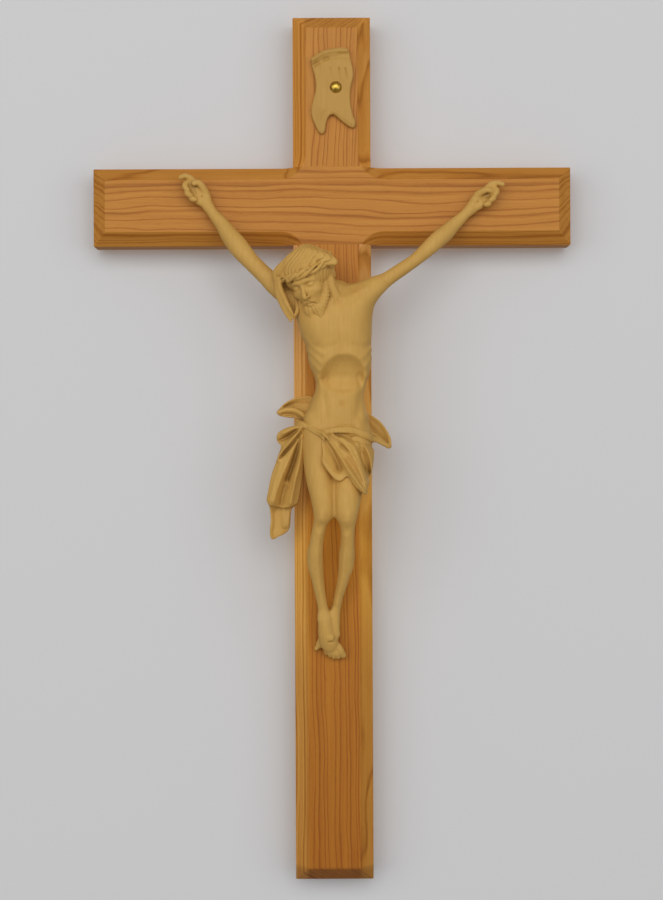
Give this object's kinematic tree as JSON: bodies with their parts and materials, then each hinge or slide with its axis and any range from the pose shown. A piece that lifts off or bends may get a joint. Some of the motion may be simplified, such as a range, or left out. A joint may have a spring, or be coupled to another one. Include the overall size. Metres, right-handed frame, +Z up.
{
  "type": "wall crucifix",
  "caption": "Wooden wall crucifix: a half-lapped Latin cross with a chamfered front edge, a carved figure, a nailed name scroll and a keyhole hanger in the back.",
  "frame": {"origin": "centre of the crossing of the two bars, on the flat back face that meets the wall", "axes": "+Z up along the upright, +X to a viewer's right along the crossbar, +Y out of the back into the wall; the front faces -Y"},
  "size_m": [0.2214, 0.0507, 0.4],
  "materials": {
    "oak": "stained oak, satin wax",
    "carved_maple": "carved maple, ochre stain, matt",
    "beech": "plain turned beech",
    "steel": "zinc-plated steel, dull",
    "plated_steel": "zinc-plated pressed sheet",
    "brass": "brassed steel, lightly tarnished"
  },
  "bodies": {
    "root": {"upright": "oak", "crossbar": "oak", "figure_body": "carved_maple", "figure_right_arm": "carved_maple", "figure_left_arm": "carved_maple", "loincloth_hanging_fold": "carved_maple", "right_shoulder_dowel": "beech", "left_shoulder_dowel": "beech", "right_hand_pin": "steel", "left_hand_pin": "steel", "foot_pin": "steel", "upper_body_screw": "steel", "hip_body_screw": "steel", "scroll": "carved_maple", "scroll_nail": "brass", "hanger_plate": "plated_steel", "upper_hanger_screw": "steel", "lower_hanger_screw": "steel"}
  },
  "joints": []
}
